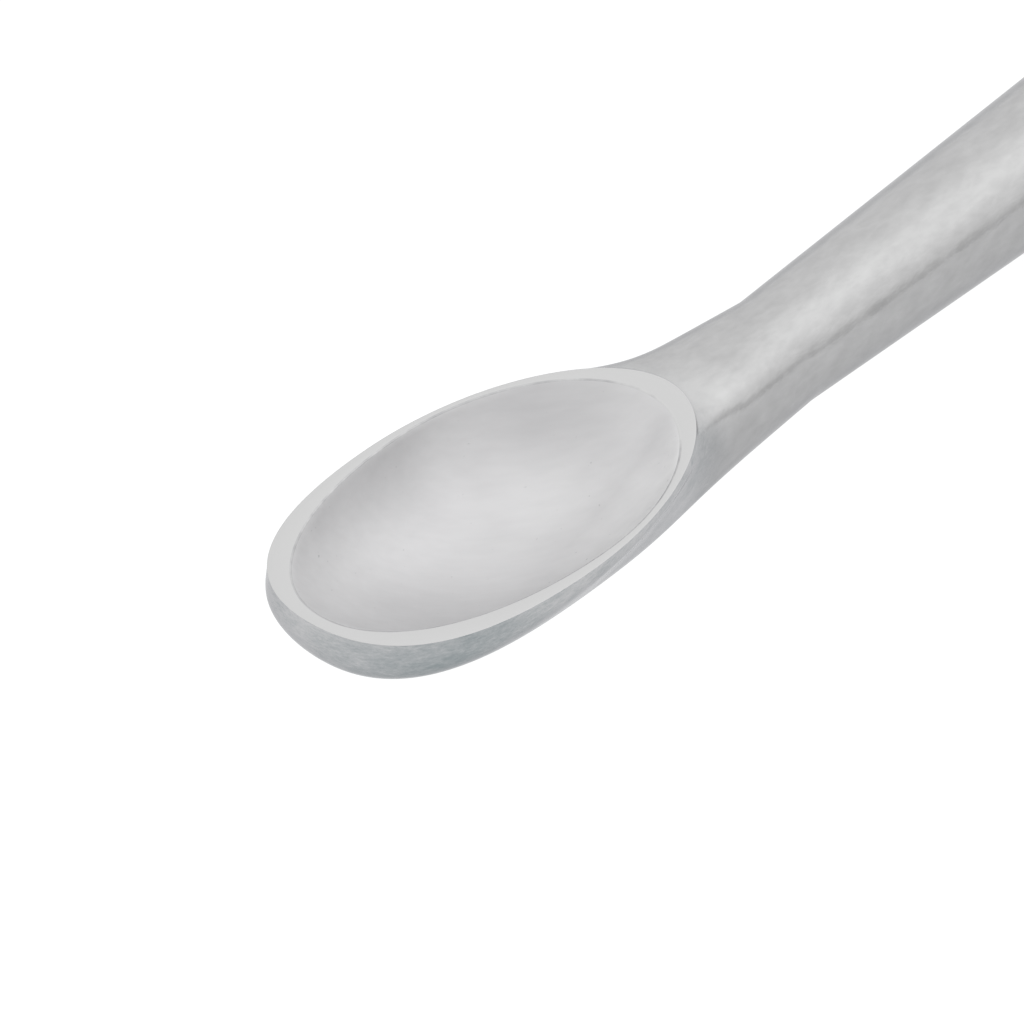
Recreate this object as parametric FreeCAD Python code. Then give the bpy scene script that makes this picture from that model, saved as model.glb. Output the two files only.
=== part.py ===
import FreeCAD, Part
import math
import os

# Bone scoop: an egg-shaped cup with a flat ground rim, a neck, a round tapering shaft and an
# eight-sided handle, all one piece of steel. Millimetres.
# X runs from the tip of the cup to the butt of the handle, and Z is up out of the cup.
# The handle lies on one of its flats at Z = 0, and the origin is under the middle of the length.

Vec = FreeCAD.Vector

# Handle and shaft
overall_length = 170.0
handle_sides = 8
handle_across_flats = 8.0
butt_chamfer = 0.8
shaft_gain = 0.030          # radius gained for each millimetre along the shaft
neck_along = 21.5           # the last ring of the neck, along from the tip
neck_to_waist = 3.3         # from there to the waist, where the neck runs into the shaft
waist_radius = 2.17

# The cup's rim, measured in its own flat plane from the tip
rim_length = 18.7
rim_half_width = 5.16
rim_widest = 0.465          # where the rim is widest, as a share of its length
rim_front_fullness = 1.0
rim_rear_fullness = 0.67
rim_lean = 2.2              # degrees that the rim's plane rises from the waist to the tip
rim_over_waist = 2.16       # height of the rim's plane over the shaft's axis at the waist

# The keel, the lowest line of the cup: how far along and how deep below the rim it runs
edge_depth = 0.56
brow_depth = 1.27
chin_along = 1.29
chin_depth = 3.1
belly_along = 10.04
belly_depth = 3.87
heel_along = 15.42
heel_depth = 4.01

# The spine, the line from the rear of the rim up the neck: each ring's step behind the ring
# before it, and its depth below the rim
edge_spine_step = 0.12
edge_spine_depth = 0.04
brow_spine_step = 0.12
brow_spine_depth = 0.03
chin_spine_step = 0.52
chin_spine_depth = 0.09
belly_spine_step = 0.72
belly_spine_depth = 0.07
heel_spine_step = 0.77
heel_spine_depth = 0.01

# Half widths of the rings between the rim and the waist
brow_half_width = 5.15
chin_half_width = 4.35
belly_half_width = 3.68
heel_half_width = 2.89
neck_half_width = 2.43
neck_radius = 2.17

# How full the rings are at the keel and at the spine (0.71 is an ellipse, and more is squarer),
# and where they are widest, as a share of the way from the keel to the spine
brow_front_fullness = 1.3
brow_rear_fullness = 0.68
chin_front_fullness = 0.65
chin_rear_fullness = 0.91
belly_rear_fullness = 0.81
heel_rear_fullness = 1.01
neck_rear_fullness = 1.13
chin_widest = 0.44
belly_widest = 0.36
heel_widest = 0.25

# The bowl, hollowed out below the rim
bowl_start = 0.53           # width of the rim at the tip
bowl_length = 17.15
bowl_half_width = 4.79
bowl_widest = 0.54
bowl_front_fullness = 0.79
bowl_rear_fullness = 0.69
bowl_depth = 3.3
bowl_bottom = 9.0           # the lowest point of the bowl, along from the tip of the rim
bowl_front_slope = 4.0      # how far the wall leans in on its way down, at the front,
bowl_rear_slope = 4.5       # at the rear
bowl_side_slope = 1.2       # and at the sides
cutter_rise = 1.0           # how far the bowl's cutter stands over the rim

axis_height = handle_across_flats / 2.0
tip_x = -overall_length / 2.0
butt_x = overall_length / 2.0
waist_along = neck_along + neck_to_waist
waist_x = tip_x + waist_along
neck_x = tip_x + neck_along
ellipse = math.cos(math.radians(45))


# A point of the cup, from its place along the rim's plane and its depth below that plane
def cup_point(along, depth):
    lean = math.radians(rim_lean)
    x = waist_x + (along - waist_along) * math.cos(lean) - depth * math.sin(lean)
    z = axis_height + rim_over_waist
    z = z - (along - waist_along) * math.sin(lean) - depth * math.cos(lean)
    return Vec(x, 0, z)


# The corners and weights of an egg-shaped ring between two points of the middle plane
def egg(front, rear, half_width, front_fullness=ellipse, rear_fullness=ellipse, widest=0.5):
    side = Vec(0, half_width, 0)
    middle = front + (rear - front) * widest
    corners = [rear, rear + side, middle + side, front + side, front]
    corners = corners + [front - side, middle - side, rear - side, rear]
    weights = [1, rear_fullness, 1, front_fullness, 1]
    weights = weights + [front_fullness, 1, rear_fullness, 1]
    return corners, weights


# A smooth face through a row of rings, from their corners, with the given knots along the row
def ring_face(rings, knots, repeats, degree):
    corners = [ring[0] for ring in rings]
    weights = [ring[1] for ring in rings]
    surface = Part.BSplineSurface()
    surface.buildFromPolesMultsKnots(corners, repeats, [3, 2, 2, 2, 3], knots, [0, 1, 2, 3, 4],
                                     False, False, degree, 2, weights)
    return surface.toShape()


# The flat face inside a ring
def ring_cap(ring):
    curve = Part.BSplineCurve()
    curve.buildFromPolesMultsKnots(ring[0], [3, 2, 2, 2, 3], [0, 1, 2, 3, 4], False, 2, ring[1])
    return Part.Face(Part.Wire([curve.toShape()]))


# The solid inside faces that meet all round
def closed_solid(faces):
    sewn = Part.makeShell(faces)
    sewn.sewShape()
    solid = Part.Solid(sewn)
    if solid.Volume < 0:
        solid.reverse()
    return solid


# Outside of the cup and neck: rings fanned out from the flat rim to the upright waist
rim_ring = egg(cup_point(0, 0), cup_point(rim_length, 0), rim_half_width,
               rim_front_fullness, rim_rear_fullness, rim_widest)

spine_along = rim_length + edge_spine_step
edge_ring = egg(cup_point(0, edge_depth), cup_point(spine_along, edge_spine_depth),
                rim_half_width, rim_front_fullness, rim_rear_fullness, rim_widest)

spine_along = spine_along + brow_spine_step
brow_ring = egg(cup_point(0, brow_depth), cup_point(spine_along, brow_spine_depth),
                brow_half_width, brow_front_fullness, brow_rear_fullness, rim_widest)

spine_along = spine_along + chin_spine_step
chin_ring = egg(cup_point(chin_along, chin_depth), cup_point(spine_along, chin_spine_depth),
                chin_half_width, chin_front_fullness, chin_rear_fullness, chin_widest)

spine_along = spine_along + belly_spine_step
belly_ring = egg(cup_point(belly_along, belly_depth), cup_point(spine_along, belly_spine_depth),
                 belly_half_width, ellipse, belly_rear_fullness, belly_widest)

spine_along = spine_along + heel_spine_step
heel_ring = egg(cup_point(heel_along, heel_depth), cup_point(spine_along, heel_spine_depth),
                heel_half_width, ellipse, heel_rear_fullness, heel_widest)

neck_ring = egg(Vec(neck_x, 0, axis_height - neck_radius),
                Vec(neck_x, 0, axis_height + neck_radius),
                neck_half_width, ellipse, neck_rear_fullness)
waist_ring = egg(Vec(waist_x, 0, axis_height - waist_radius),
                 Vec(waist_x, 0, axis_height + waist_radius), waist_radius)

cup_rings = [rim_ring, edge_ring, brow_ring, chin_ring, belly_ring, heel_ring, neck_ring,
             waist_ring]
cup_skin = ring_face(cup_rings, [0, 1, 2, 3, 4, 5], [4, 1, 1, 1, 1, 4], 3)
cup = closed_solid([cup_skin, ring_cap(rim_ring), ring_cap(waist_ring)])

# The bowl's cutter: a half egg hanging from the rim, and a straight stretch over it
bowl_end = bowl_start + bowl_length
bowl_mouth = egg(cup_point(bowl_start, 0), cup_point(bowl_end, 0), bowl_half_width,
                 bowl_front_fullness, bowl_rear_fullness, bowl_widest)
bowl_floor = egg(cup_point(bowl_start + bowl_front_slope, bowl_depth),
                 cup_point(bowl_end - bowl_rear_slope, bowl_depth),
                 bowl_half_width - bowl_side_slope,
                 bowl_front_fullness, bowl_rear_fullness, bowl_widest)
bowl_pole = ([cup_point(bowl_bottom, bowl_depth)] * 9, bowl_mouth[1])
bowl_skin = ring_face([bowl_mouth, bowl_floor, bowl_pole], [0, 1], [3, 3], 2)
bowl_lid = ring_cap(bowl_mouth)
bowl = closed_solid([bowl_skin, bowl_lid])
clearance = bowl_lid.extrude(cup_point(0, -cutter_rise) - cup_point(0, 0))

# Shaft, turned from the waist until it runs out into the flats of the handle
corner_radius = axis_height / math.cos(math.pi / handle_sides)
run_out_x = waist_x + (corner_radius - waist_radius) / shaft_gain
profile = [Vec(waist_x, 0, 0), Vec(waist_x, 0, waist_radius), Vec(run_out_x, 0, corner_radius),
           Vec(butt_x - butt_chamfer, 0, corner_radius),
           Vec(butt_x, 0, corner_radius - butt_chamfer), Vec(butt_x, 0, 0),
           Vec(waist_x, 0, 0)]
turned = Part.Face(Part.makePolygon(profile)).revolve(Vec(0, 0, 0), Vec(1, 0, 0), 360)
corners = []
for number in range(handle_sides + 1):
    angle = 2 * math.pi * (number + 0.5) / handle_sides
    corners.append(Vec(waist_x, corner_radius * math.sin(angle),
                       corner_radius * math.cos(angle)))
bar = Part.Face(Part.makePolygon(corners)).extrude(Vec(butt_x - waist_x, 0, 0))
shaft = turned.common(bar)
shaft.translate(Vec(0, 0, axis_height))

# All in one piece, hollowed last
scoop = cup.fuse(shaft).cut(bowl).cut(clearance)
os.makedirs("parts", exist_ok=True)
scoop.Solids[0].exportStep("parts/bone_scoop.step")
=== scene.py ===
import bpy
import bmesh
import math
import numpy as np
from mathutils import Matrix, Vector


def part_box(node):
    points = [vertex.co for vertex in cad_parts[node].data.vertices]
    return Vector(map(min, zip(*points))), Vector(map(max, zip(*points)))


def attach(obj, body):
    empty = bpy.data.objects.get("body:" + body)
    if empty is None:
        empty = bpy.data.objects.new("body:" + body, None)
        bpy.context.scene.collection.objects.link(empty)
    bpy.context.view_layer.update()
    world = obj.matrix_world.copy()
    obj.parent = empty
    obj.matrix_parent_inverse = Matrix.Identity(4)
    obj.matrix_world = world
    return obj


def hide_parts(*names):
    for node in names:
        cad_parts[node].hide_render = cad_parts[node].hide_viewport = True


# A bone scoop of satin stainless steel: an egg-shaped cup with a flat ground rim, a neck, a round
# tapering shaft and an eight-sided handle. Lengths are in millimetres until a mesh is written.

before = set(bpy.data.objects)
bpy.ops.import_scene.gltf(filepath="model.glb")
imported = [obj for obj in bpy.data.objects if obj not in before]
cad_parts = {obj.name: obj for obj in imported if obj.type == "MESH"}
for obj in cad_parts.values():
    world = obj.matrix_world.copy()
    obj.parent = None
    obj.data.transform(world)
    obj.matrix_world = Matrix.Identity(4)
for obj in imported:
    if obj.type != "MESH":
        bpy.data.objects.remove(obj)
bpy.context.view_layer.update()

MM = 0.001

# Handle and shaft
low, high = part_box("bone_scoop")
butt_x = high[0] / MM
handle_across_flats = (high[2] - low[2]) / MM
handle_sides = 8
butt_chamfer = 0.8
shaft_gain = 0.030
waist_along = 24.8
waist_radius = 2.17
axis_height = handle_across_flats / 2
waist_x = -butt_x + waist_along

# The cup's rim, in its own plane from the tip
rim_length = 18.7
rim_half_width = 5.16
rim_widest = 0.465
rim_front_fullness = 1.0
rim_rear_fullness = 0.67
rim_lean = math.radians(2.2)
rim_over_waist = 2.16

# The keel under the cup: how far along and how deep below the rim
edge_depth = 0.56
brow_depth = 1.27
chin_along, chin_depth = 1.29, 3.10
belly_along, belly_depth = 10.04, 3.87
heel_along, heel_depth = 15.42, 4.01

# The spine behind the rim: each ring's step behind the one before, and its depth
edge_spine_step, edge_spine_depth = 0.12, 0.04
brow_spine_step, brow_spine_depth = 0.12, 0.03
chin_spine_step, chin_spine_depth = 0.52, 0.09
belly_spine_step, belly_spine_depth = 0.72, 0.07
heel_spine_step, heel_spine_depth = 0.77, 0.01

# The rings between the rim and the waist: half widths, and where and how full they are
brow_half_width = 5.15
chin_half_width = 4.35
belly_half_width = 3.68
heel_half_width = 2.89
neck_half_width = 2.43
neck_along = 21.5
neck_radius = 2.17
brow_front_fullness = 1.3
brow_rear_fullness = 0.68
chin_front_fullness = 0.65
chin_rear_fullness = 0.91
belly_rear_fullness = 0.81
heel_rear_fullness = 1.01
neck_rear_fullness = 1.13
chin_widest = 0.44
belly_widest = 0.36
heel_widest = 0.25

# The bowl
bowl_start = 0.53
bowl_length = 17.15
bowl_half_width = 4.79
bowl_widest = 0.54
bowl_front_fullness = 0.79
bowl_rear_fullness = 0.69
bowl_depth = 3.3
bowl_bottom = 9.0
bowl_front_slope = 4.0
bowl_rear_slope = 4.5
bowl_side_slope = 1.2

# The rim's edges, barely broken
rim_inner_round = 0.05
rim_outer_round = 0.015

# How finely the skins are divided
AROUND = 192
BOWL_ROWS = 30
SKIN_ROWS = 72
TAPER_STEPS = 24
EDGE_STEPS = 3

# How full an arc is that is a true quarter of an ellipse
ELLIPSE = math.cos(math.radians(45))

# The steels by their place in the list of the piece
OUTSIDE, BOWL, RIM, EDGE = 0, 1, 2, 3

# Painted shade and painted highlights, where the steel is drawn darker or paler to stand for light
# and shade: the centre, how far around it the change is full, from where on there is none, and
# how much the shade changes
# On the outside: painted shade on the near side of the tip and by the neck, and a painted highlight
# on the neck
cup_painted_shade_and_highlight = [
    ((-82.5, -4.0, 5.0), 1.0, 5.5, -0.63),
    ((-76.0, -4.6, 5.2), 0.5, 2.5, -0.14),
    ((-67.4, -3.0, 5.3), 0.3, 2.4, -0.3),
    ((-66.0, -1.4, 6.3), 0.5, 2.2, 0.3),
]
# On the shaft by the neck: painted shade where a dark reflection ends, and a painted highlight
shaft_painted_shade_and_highlight = [
    ((-67.4, -3.0, 5.3), 0.3, 2.4, -0.3),
    ((-66.0, -1.4, 6.3), 0.5, 2.2, 0.5),
]
# In the bowl: painted shade on the far side, in the middle and by the rear edge, and painted
# highlights further along and at the tip
bowl_painted_shade_and_highlights = [
    ((-70.0, 3.4, 5.0), 0.5, 4.0, -0.27),
    ((-75.5, 3.5, 4.5), 0.5, 3.5, -0.14),
    ((-79.0, 0.8, 3.0), 0.5, 3.0, -0.12),
    ((-71.4, 1.2, 3.8), 0.5, 2.5, 0.16),
    ((-83.0, 1.8, 5.0), 0.5, 3.0, 0.08),
    ((-68.6, -2.3, 6.2), 0.4, 1.8, -0.2),
]
# On the bowl's edge at the rear: a painted highlight
edge_painted_highlight = [
    ((-67.6, -1.4, 6.4), 1.4, 2.8, 0.7),
]


def clear_selection():
    bpy.ops.object.select_all(action="DESELECT")


def cup_point(along, depth):
    """A point of the middle plane, from its place along the rim and its depth below it."""
    x = waist_x + (along - waist_along) * math.cos(rim_lean) - depth * math.sin(rim_lean)
    z = axis_height + rim_over_waist
    z = z - (along - waist_along) * math.sin(rim_lean) - depth * math.cos(rim_lean)
    return np.array([x, 0.0, z])


def egg(front, rear, half_width, front_fullness=ELLIPSE, rear_fullness=ELLIPSE, widest=0.5):
    """The nine corners of an egg-shaped ring, each with its weight as a fourth number."""
    side = np.array([0.0, half_width, 0.0])
    middle = front + (rear - front) * widest
    corners = [rear, rear + side, middle + side, front + side, front,
               front - side, middle - side, rear - side, rear]
    weights = [1, rear_fullness, 1, front_fullness, 1, front_fullness, 1, rear_fullness, 1]
    return np.array([[*corner * weight, weight] for corner, weight in zip(corners, weights)])


def around(ring):
    """AROUND points along a ring's four arcs."""
    steps = np.linspace(0, 1, AROUND // 4, endpoint=False)[:, None]
    points = []
    for arc in range(4):
        start, corner, end = ring[2 * arc], ring[2 * arc + 1], ring[2 * arc + 2]
        points.append(start * (1 - steps) ** 2 + corner * 2 * steps * (1 - steps) + end * steps ** 2)
    points = np.concatenate(points)
    return points[:, :3] / points[:, 3:]


def share(index, step, order, knots):
    """How much one ring of a smooth row counts at a step along the row."""
    if order == 1:
        last = knots[index + 1] == knots[-1] and step == knots[-1]
        return float(knots[index] <= step < knots[index + 1] or last)
    total = 0.0
    rise = knots[index + order - 1] - knots[index]
    fall = knots[index + order] - knots[index + 1]
    if rise > 0:
        total += (step - knots[index]) / rise * share(index, step, order - 1, knots)
    if fall > 0:
        total += (knots[index + order] - step) / fall * share(index + 1, step, order - 1, knots)
    return total


def along_rings(rings, count, order=4):
    """A smooth row of rings, from the first to the last, shaped by those between."""
    spans = len(rings) - order + 1
    knots = [0] * (order - 1) + list(range(spans + 1)) + [spans] * (order - 1)
    row = []
    for step in np.linspace(0, spans, count):
        shares = [share(index, step, order, knots) for index in range(len(rings))]
        row.append(sum(part * ring for part, ring in zip(shares, rings)))
    return row


def cup_rings():
    """The rings that shape the outside, from the flat rim to the upright waist."""
    rim = rim_half_width, rim_front_fullness, rim_rear_fullness, rim_widest
    edge_spine = rim_length + edge_spine_step
    brow_spine = edge_spine + brow_spine_step
    chin_spine = brow_spine + chin_spine_step
    belly_spine = chin_spine + belly_spine_step
    heel_spine = belly_spine + heel_spine_step
    neck = np.array([-butt_x + neck_along, 0, axis_height])
    waist = np.array([waist_x, 0, axis_height])
    up = np.array([0, 0, 1.0])
    return [
        egg(cup_point(0, 0), cup_point(rim_length, 0), *rim),
        egg(cup_point(0, edge_depth), cup_point(edge_spine, edge_spine_depth), *rim),
        egg(cup_point(0, brow_depth), cup_point(brow_spine, brow_spine_depth),
            brow_half_width, brow_front_fullness, brow_rear_fullness, rim_widest),
        egg(cup_point(chin_along, chin_depth), cup_point(chin_spine, chin_spine_depth),
            chin_half_width, chin_front_fullness, chin_rear_fullness, chin_widest),
        egg(cup_point(belly_along, belly_depth), cup_point(belly_spine, belly_spine_depth),
            belly_half_width, ELLIPSE, belly_rear_fullness, belly_widest),
        egg(cup_point(heel_along, heel_depth), cup_point(heel_spine, heel_spine_depth),
            heel_half_width, ELLIPSE, heel_rear_fullness, heel_widest),
        egg(neck - neck_radius * up, neck + neck_radius * up,
            neck_half_width, ELLIPSE, neck_rear_fullness),
        egg(waist - waist_radius * up, waist + waist_radius * up, waist_radius),
    ]


def bowl_rings():
    """The bowl's three rings: its lowest point, the corners under its mouth, and its mouth."""
    fullness = bowl_front_fullness, bowl_rear_fullness, bowl_widest
    end = bowl_start + bowl_length
    mouth = egg(cup_point(bowl_start, 0), cup_point(end, 0), bowl_half_width, *fullness)
    floor = egg(cup_point(bowl_start + bowl_front_slope, bowl_depth),
                cup_point(end - bowl_rear_slope, bowl_depth),
                bowl_half_width - bowl_side_slope, *fullness)
    lowest = np.append(cup_point(bowl_bottom, bowl_depth), 1.0)
    return [mouth[:, 3:] * lowest, floor, mouth]


def make_cup(steels):
    """The bowl, the flat rim and the outside down to the waist: one grid laid on the rings."""
    rows = along_rings(bowl_rings(), BOWL_ROWS, order=3) + along_rings(cup_rings(), SKIN_ROWS)
    clear_selection()
    bpy.ops.mesh.primitive_grid_add(x_subdivisions=AROUND, y_subdivisions=len(rows) - 1, size=1)
    cup = bpy.context.object
    cup.name = "scoop"
    for steel in steels:
        cup.data.materials.append(steel)
    for face in cup.data.polygons:
        row = (face.center.y + 0.5) * (len(rows) - 1)
        if row < BOWL_ROWS - 1:
            face.material_index = BOWL
        elif row < BOWL_ROWS:
            face.material_index = RIM
    points = [around(ring) for ring in rows]
    for vert in cup.data.vertices:
        column = round((vert.co.x + 0.5) * AROUND) % AROUND
        row = round((vert.co.y + 0.5) * (len(rows) - 1))
        vert.co = Vector(points[row][column]) * MM
    bpy.ops.object.mode_set(mode="EDIT")
    bpy.ops.mesh.select_all(action="SELECT")
    bpy.ops.mesh.remove_doubles(threshold=0.0005 * MM)
    bpy.ops.mesh.normals_make_consistent(inside=False)
    bpy.ops.object.mode_set(mode="OBJECT")
    return cup


def make_shaft(outer_steel):
    """The turned shaft and the bar behind it, cut to eight flats."""
    corner_radius = axis_height / math.cos(math.pi / handle_sides)
    run_out_x = waist_x + (corner_radius - waist_radius) / shaft_gain
    start_gap = 0.4
    x = waist_x + start_gap
    radius = waist_radius + start_gap * shaft_gain
    clear_selection()
    bpy.ops.mesh.primitive_circle_add(vertices=AROUND, radius=radius * MM,
                                      location=(x * MM, 0, axis_height * MM),
                                      rotation=(0, math.pi / 2, 0))
    shaft = bpy.context.object
    bpy.ops.object.transform_apply(location=True, rotation=True, scale=True)
    shaft.data.materials.append(outer_steel)
    bpy.ops.object.mode_set(mode="EDIT")
    bpy.ops.mesh.select_all(action="SELECT")
    stretches = [(run_out_x, corner_radius, TAPER_STEPS),
                 (butt_x - butt_chamfer, corner_radius, 1),
                 (butt_x, corner_radius - butt_chamfer, 1)]
    for end_x, end_radius, steps in stretches:
        for step in range(steps):
            next_x = x + (end_x - x) / (steps - step)
            next_radius = radius + (end_radius - radius) / (steps - step)
            bpy.ops.mesh.extrude_edges_move(
                TRANSFORM_OT_translate={"value": ((next_x - x) * MM, 0, 0)})
            grow = next_radius / radius
            bpy.ops.transform.resize(value=(1, grow, grow),
                                     center_override=(next_x * MM, 0, axis_height * MM))
            x, radius = next_x, next_radius
    bpy.ops.mesh.edge_face_add()
    for side in range(handle_sides):
        angle = 2 * math.pi * side / handle_sides
        facing = Vector((0, math.sin(angle), math.cos(angle)))
        flat = Vector((0, 0, axis_height)) + facing * axis_height
        bpy.ops.mesh.select_all(action="SELECT")
        bpy.ops.mesh.bisect(plane_co=flat * MM, plane_no=facing, use_fill=True,
                            clear_outer=True, threshold=0.0001 * MM)
        bpy.ops.mesh.mark_sharp()
    bpy.ops.object.mode_set(mode="OBJECT")
    return shaft


def join_at_waist(cup, shaft):
    """Joins the shaft to the cup and bridges the two open ends."""
    clear_selection()
    shaft.select_set(True)
    cup.select_set(True)
    bpy.context.view_layer.objects.active = cup
    bpy.ops.object.join()
    bpy.ops.object.mode_set(mode="EDIT")
    bpy.ops.mesh.select_mode(type="EDGE")
    bpy.ops.mesh.select_all(action="DESELECT")
    bpy.ops.mesh.select_non_manifold(extend=False)
    bpy.ops.mesh.bridge_edge_loops(type="PAIRS")
    bpy.ops.mesh.select_all(action="SELECT")
    bpy.ops.mesh.normals_make_consistent(inside=False)
    bpy.ops.object.mode_set(mode="OBJECT")
    return cup


def round_edge(scoop, meeting, width, steel=-1):
    """Takes the sharpness off the edge where the faces of two steels meet. The new faces have a
    steel of their own, or else that of their neighbours."""
    bpy.ops.object.mode_set(mode="EDIT")
    bpy.ops.mesh.select_mode(type="EDGE")
    bpy.ops.mesh.select_all(action="DESELECT")
    mesh = bmesh.from_edit_mesh(scoop.data)
    for edge in mesh.edges:
        edge.select_set({face.material_index for face in edge.link_faces} == meeting)
    mesh.select_flush_mode()
    bmesh.update_edit_mesh(scoop.data)
    bpy.ops.mesh.bevel(offset=width * MM, segments=EDGE_STEPS, affect="EDGES", material=steel)
    bpy.ops.object.mode_set(mode="OBJECT")


def smooth_surface(scoop):
    """Smooth shading, with the flats, the rim and the chamfer left crisp."""
    clear_selection()
    scoop.select_set(True)
    bpy.context.view_layer.objects.active = scoop
    bpy.ops.object.shade_smooth_by_angle(angle=math.radians(32), keep_sharp_edges=True)
    modifier = scoop.modifiers.new("weighted normals", "WEIGHTED_NORMAL")
    modifier.keep_sharp = True
    modifier.weight = 80
    bpy.ops.object.modifier_apply(modifier=modifier.name)


# Materials


def new_steel(name, colour, roughness, edge=(1, 1, 1)):
    """A steel, with the tint that its reflections take where it is seen edge on."""
    steel = bpy.data.materials.new(name)
    steel.use_nodes = True
    shader = steel.node_tree.nodes["Principled BSDF"]
    shader.inputs["Metallic"].default_value = 1.0
    shader.inputs["Base Color"].default_value = (*colour, 1)
    shader.inputs["Roughness"].default_value = roughness
    shader.inputs["Specular Tint"].default_value = (*edge, 1)
    return steel, steel.node_tree, shader


def in_millimetres(tree, stretch=(1, 1, 1), turn=0):
    """Object coordinates in millimetres, squeezed or stretched for a grain that runs one way,
    which is turned about the upright by some degrees."""
    place = tree.nodes.new("ShaderNodeTexCoord")
    mapping = tree.nodes.new("ShaderNodeMapping")
    mapping.vector_type = "TEXTURE"
    mapping.inputs["Rotation"].default_value = (0, 0, math.radians(turn))
    mapping.inputs["Scale"].default_value = tuple(MM / part for part in stretch)
    tree.links.new(place.outputs["Object"], mapping.inputs["Vector"])
    return mapping.outputs["Vector"]


def noise(tree, place, scale, detail=3.0, roughness=0.55):
    node = tree.nodes.new("ShaderNodeTexNoise")
    node.inputs["Scale"].default_value = scale
    node.inputs["Detail"].default_value = detail
    node.inputs["Roughness"].default_value = roughness
    tree.links.new(place, node.inputs["Vector"])
    return node.outputs["Fac"]


def spread(tree, value, low_out, high_out, low_in=0.3, high_in=0.7):
    """A value between two limits brought to lie between two others."""
    node = tree.nodes.new("ShaderNodeMapRange")
    node.inputs["From Min"].default_value = low_in
    node.inputs["From Max"].default_value = high_in
    node.inputs["To Min"].default_value = low_out
    node.inputs["To Max"].default_value = high_out
    tree.links.new(value, node.inputs["Value"])
    return node.outputs["Result"]


def blend(tree, factor, first, second):
    """Two values blended by a factor."""
    node = tree.nodes.new("ShaderNodeMix")
    for name, part in (("Factor", factor), ("A", first), ("B", second)):
        tree.links.new(part, node.inputs[name])
    return node.outputs["Result"]


def mixed(tree, factor, first, second):
    """Two colours mixed by a factor. The node's colours are its inputs 6 and 7 and output 2."""
    node = tree.nodes.new("ShaderNodeMix")
    node.data_type = "RGBA"
    tree.links.new(factor, node.inputs[0])
    tree.links.new(first, node.inputs[6])
    tree.links.new(second, node.inputs[7])
    return node.outputs[2]


def worked(tree, operation, first, second):
    """The sum, product or another working of two values, or of a value and a number."""
    node = tree.nodes.new("ShaderNodeMath")
    node.operation = operation
    for socket, part in zip(node.inputs, (first, second)):
        if isinstance(part, (int, float)):
            socket.default_value = part
        else:
            tree.links.new(part, socket)
    return node.outputs["Value"]


def between(tree, value, dark, pale, low=0.0, high=1.0):
    """A colour that runs from a dark to a pale one, as a value runs from low to high."""
    ramp = tree.nodes.new("ShaderNodeValToRGB")
    ramp.color_ramp.elements[0].position = low
    ramp.color_ramp.elements[0].color = (*dark, 1)
    ramp.color_ramp.elements[1].position = high
    ramp.color_ramp.elements[1].color = (*pale, 1)
    tree.links.new(value, ramp.inputs["Fac"])
    return ramp.outputs["Color"]


def bump(tree, height, distance, shader):
    node = tree.nodes.new("ShaderNodeBump")
    node.inputs["Distance"].default_value = distance * MM
    tree.links.new(height, node.inputs["Height"])
    tree.links.new(node.outputs["Normal"], shader.inputs["Normal"])


def places(tree):
    """The three coordinates of a place, in millimetres."""
    parts = tree.nodes.new("ShaderNodeSeparateXYZ")
    tree.links.new(in_millimetres(tree), parts.inputs["Vector"])
    return parts.outputs


def nearness(tree, centre, near, far):
    """How near a place is to a centre in millimetres: one up to near, and none from far on."""
    gap = tree.nodes.new("ShaderNodeVectorMath")
    gap.operation = "DISTANCE"
    gap.inputs[1].default_value = centre
    tree.links.new(in_millimetres(tree), gap.inputs[0])
    return spread(tree, gap.outputs["Value"], 1, 0, low_in=near, high_in=far)


def with_painted_light(tree, shade, patches):
    """A shade with painted shade and painted highlights added around some centres."""
    for centre, near, far, change in patches:
        painted_patch = worked(tree, "MULTIPLY", nearness(tree, centre, near, far), change)
        shade = worked(tree, "ADD", shade, painted_patch)
    return shade


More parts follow.
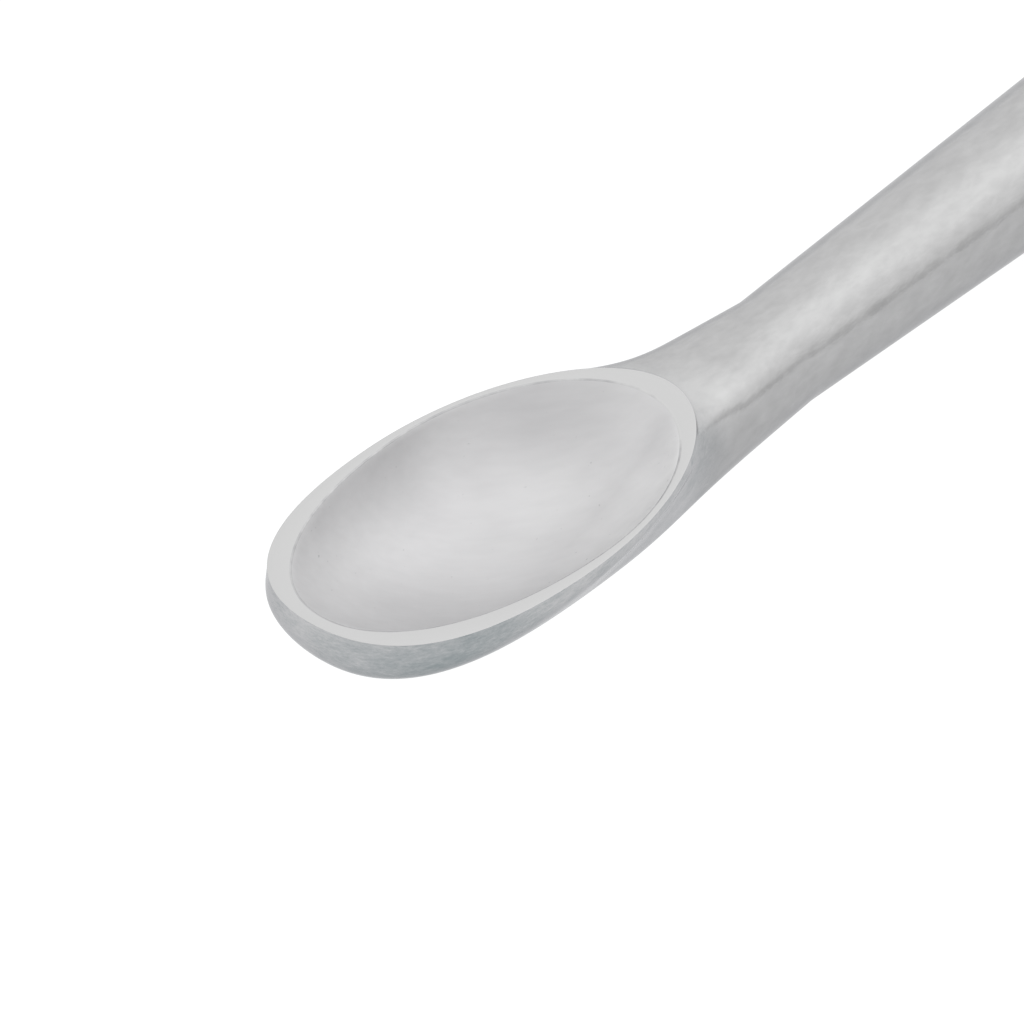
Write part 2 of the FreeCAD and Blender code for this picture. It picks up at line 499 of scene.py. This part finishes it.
def outer_finish():
    """Outside of the cup, neck, shaft and handle: fine streaks and grit, which pass into a soft
    mottle drawn out along the shaft, with painted shade as a dark bluish place on the near side of
    the tip, and painted shade and a painted highlight by the neck."""
    steel, tree, shader = new_steel("satin steel", (0.40, 0.40, 0.40), 0.20, (0.72, 0.72, 0.73))
    streaks = noise(tree, in_millimetres(tree, stretch=(2.0, 2.0, 9.0)), 1.0, detail=3)
    blots = noise(tree, in_millimetres(tree, stretch=(0.8, 0.8, 1.6)), 1.0, detail=5,
                  roughness=0.65)
    clouds = noise(tree, in_millimetres(tree, stretch=(0.5, 1.0, 1.0)), 2.2, detail=4,
                   roughness=0.58)
    behind = spread(tree, places(tree)["X"], 0, 1, low_in=-69.5, high_in=-65.5)
    mottle = spread(tree, blots, -0.25, 0.25, 0.2, 0.8)
    grit = noise(tree, in_millimetres(tree, stretch=(1.0, 1.0, 2.5)), 5.0, detail=4, roughness=0.7)
    mottle = worked(tree, "ADD", mottle, spread(tree, grit, -0.22, 0.22, 0.25, 0.75))
    worn = worked(tree, "ADD", spread(tree, streaks, -0.18, 0.18, 0.2, 0.8), mottle)
    # Painted shade on the near side of the tip and by the neck, and a painted highlight on the neck,
    # are added to the cup's shade
    cup_shade = with_painted_light(tree, worked(tree, "ADD", worn, 0.87), cup_painted_shade_and_highlight)
    cup_colour = between(tree, cup_shade, (0.24, 0.272, 0.28), (0.50, 0.50, 0.505))
    # Painted shade and a painted highlight by the neck are added to the shaft's shade
    shaft_shade = with_painted_light(tree, spread(tree, clouds, 0.26, 0.74, 0.2, 0.8), shaft_painted_shade_and_highlight)
    shaft_colour = between(tree, shaft_shade, (0.32, 0.32, 0.32), (0.48, 0.48, 0.48))
    tree.links.new(mixed(tree, behind, cup_colour, shaft_colour), shader.inputs["Base Color"])
    grain = blend(tree, behind, streaks, clouds)
    tree.links.new(spread(tree, grain, 0.17, 0.23, 0.2, 0.8), shader.inputs["Roughness"])
    grooves = blend(tree, behind, spread(tree, streaks, 0.0, 0.2, 0.0, 1.0), clouds)
    bump(tree, grooves, 0.018, shader)
    return steel


def bowl_finish():
    """Inside of the bowl: smooth satin, faintly cloudy and brushed, with a few tiny specks, with
    painted shade on the far side, a painted highlight along the near side at the rear, and more
    painted shade and highlights along the bowl's bright streak."""
    steel, tree, shader = new_steel("satin bowl steel", (0.55, 0.55, 0.555), 0.48)
    cloud = noise(tree, in_millimetres(tree), 0.8, detail=4)
    brushing = noise(tree, in_millimetres(tree, stretch=(0.5, 2.5, 2.5), turn=-40), 1.2, detail=5)
    shade = worked(tree, "ADD", spread(tree, cloud, 0.32, 0.39, 0.2, 0.8),
                   spread(tree, brushing, -0.05, 0.05, 0.2, 0.8))
    # Painted shade on the far side, in the middle and by the rear edge, and painted highlights along
    # the bright streak
    shade = with_painted_light(tree, shade, bowl_painted_shade_and_highlights)
    # Painted highlight: the near side of the bowl is made paler towards the rear
    rear = spread(tree, places(tree)["X"], 0, 1, low_in=-76.5, high_in=-72.5)
    side = spread(tree, places(tree)["Y"], 0.6, 0, low_in=-3.2, high_in=-1.4)
    shade = worked(tree, "ADD", shade, worked(tree, "MULTIPLY", rear, side))
    body = between(tree, shade, (0.43, 0.426, 0.434), (0.79, 0.79, 0.79))
    grit = noise(tree, in_millimetres(tree, stretch=(0.7, 1.0, 1.0)), 6.0, detail=1)
    specks = spread(tree, grit, 0, 1, low_in=0.755, high_in=0.83)
    pit = between(tree, shade, (0.40, 0.40, 0.41), (0.44, 0.44, 0.45))
    tree.links.new(mixed(tree, specks, body, pit), shader.inputs["Base Color"])
    tree.links.new(spread(tree, cloud, 0.45, 0.51, 0.2, 0.8), shader.inputs["Roughness"])
    return steel


def rim_finish():
    """The ground rim: flat, fine and even."""
    steel, tree, shader = new_steel("ground steel", (0.515, 0.515, 0.515), 0.5)
    grain = noise(tree, in_millimetres(tree), 7.0)
    colour = between(tree, grain, (0.510, 0.510, 0.510), (0.520, 0.520, 0.520), 0.2, 0.8)
    tree.links.new(colour, shader.inputs["Base Color"])
    tree.links.new(spread(tree, grain, 0.48, 0.52), shader.inputs["Roughness"])
    return steel


def edge_finish():
    """The bowl's edge: fine, dull and uneven, and darker than the rim as painted shade along the
    edge, which is made paler on the far side and at the rear as painted light.
    """
    steel, tree, shader = new_steel("edge steel with painted shade", (0.38, 0.38, 0.38), 0.5)
    wear = noise(tree, in_millimetres(tree), 1.6, detail=4)
    # Painted light: the edge is made paler on the far side, and at the rear by its table
    far_side_painted_light = spread(tree, places(tree)["Y"], 0, 0.25, low_in=0.0, high_in=2.0)
    shade = worked(tree, "ADD", spread(tree, wear, 0.1, 0.7), far_side_painted_light)
    shade = with_painted_light(tree, shade, edge_painted_highlight)
    # The dark tones of the edge are painted shade along the bowl's edge line
    colour = between(tree, shade, (0.30, 0.30, 0.31), (0.53, 0.53, 0.53))
    tree.links.new(colour, shader.inputs["Base Color"])
    return steel


# Studio


def make_floor():
    """A white floor wide enough to fill the picture, a hair under the handle."""
    width = 6
    gap = 0.02 * MM
    clear_selection()
    bpy.ops.mesh.primitive_plane_add(size=width, location=(0, 0, -gap))
    floor = bpy.context.object
    floor.name = "floor"
    bpy.ops.object.transform_apply(location=True)
    material = bpy.data.materials.new("pale floor")
    material.use_nodes = True
    shader = material.node_tree.nodes["Principled BSDF"]
    shader.inputs["Base Color"].default_value = (0.10, 0.10, 0.10, 1)
    shader.inputs["Roughness"].default_value = 0.9
    shader.inputs["Emission Color"].default_value = (0.996, 1.0, 1.006, 1)
    shader.inputs["Emission Strength"].default_value = 0.93
    floor.data.materials.append(material)


def towards(tree, direction):
    """How far a place in the room lies in a direction, from one to minus one."""
    place = tree.nodes.new("ShaderNodeTexCoord")
    node = tree.nodes.new("ShaderNodeVectorMath")
    node.operation = "DOT_PRODUCT"
    node.inputs[1].default_value = Vector(direction).normalized()
    tree.links.new(place.outputs["Generated"], node.inputs[0])
    return node.outputs["Value"]


def make_light():
    """A soft pale room: a glow high up in front, paler behind and dimmer on the side of the
    camera, with a dark strip along the horizon on the right."""
    world = bpy.data.worlds.new("studio")
    bpy.context.scene.world = world
    world.use_nodes = True
    tree = world.node_tree
    place = tree.nodes.new("ShaderNodeTexCoord")
    parts = tree.nodes.new("ShaderNodeSeparateXYZ")
    tree.links.new(place.outputs["Generated"], parts.inputs["Vector"])
    across, aside, up = parts.outputs
    low = spread(tree, up, -0.56, 0.0, low_in=0.0, high_in=0.24)
    right = spread(tree, towards(tree, (0.8, -0.6, 0.0)), 0.0, 1.0, low_in=0.82, high_in=0.95)
    strip = worked(tree, "MULTIPLY", low, right)
    facing = worked(tree, "MAXIMUM", towards(tree, (0.58, -0.30, 0.76)), 0.0)
    glow = worked(tree, "MULTIPLY", worked(tree, "POWER", facing, 7.0), 0.47)
    front = spread(tree, across, -0.40, 0.0, low_in=-1.0, high_in=0.0)
    behind = spread(tree, aside, 1.23, 1.34, low_in=0.0, high_in=1.0)
    strength = worked(tree, "ADD", worked(tree, "ADD", strip, glow),
                      worked(tree, "ADD", front, behind))
    tree.links.new(strength, tree.nodes["Background"].inputs["Strength"])
    tree.nodes["Background"].inputs["Color"].default_value = (1, 1, 1, 1)


def make_camera():
    """A long lens that looks down across the cup from in front, on its near side."""
    target = Vector((-75.167, -0.492, 6.163)) * MM
    azimuth = math.radians(-48.82)
    elevation = math.radians(39.07)
    roll = math.radians(-0.66)
    distance = 300 * MM
    back = Vector((math.sin(azimuth) * math.cos(elevation),
                   -math.cos(azimuth) * math.cos(elevation), math.sin(elevation)))
    right = Vector((math.cos(azimuth), math.sin(azimuth), 0))
    up = back.cross(right)
    turn = Matrix((right, up, back)).transposed().to_4x4() @ Matrix.Rotation(roll, 4, "Z")
    bpy.ops.object.camera_add()
    camera = bpy.context.object
    camera.matrix_world = Matrix.Translation(target + back * distance) @ turn
    camera.data.sensor_width = 36
    camera.data.lens = 304.8
    camera.data.clip_start = 0.01
    bpy.context.scene.camera = camera


outer_steel = outer_finish()
cup = make_cup([outer_steel, bowl_finish(), rim_finish(), edge_finish()])
scoop = join_at_waist(cup, make_shaft(outer_steel))
round_edge(scoop, {BOWL, RIM}, rim_inner_round, EDGE)
round_edge(scoop, {OUTSIDE, RIM}, rim_outer_round)
smooth_surface(scoop)
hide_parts("bone_scoop")
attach(scoop, "root")
make_floor()
make_light()
make_camera()
bpy.context.scene.view_settings.view_transform = "Standard"
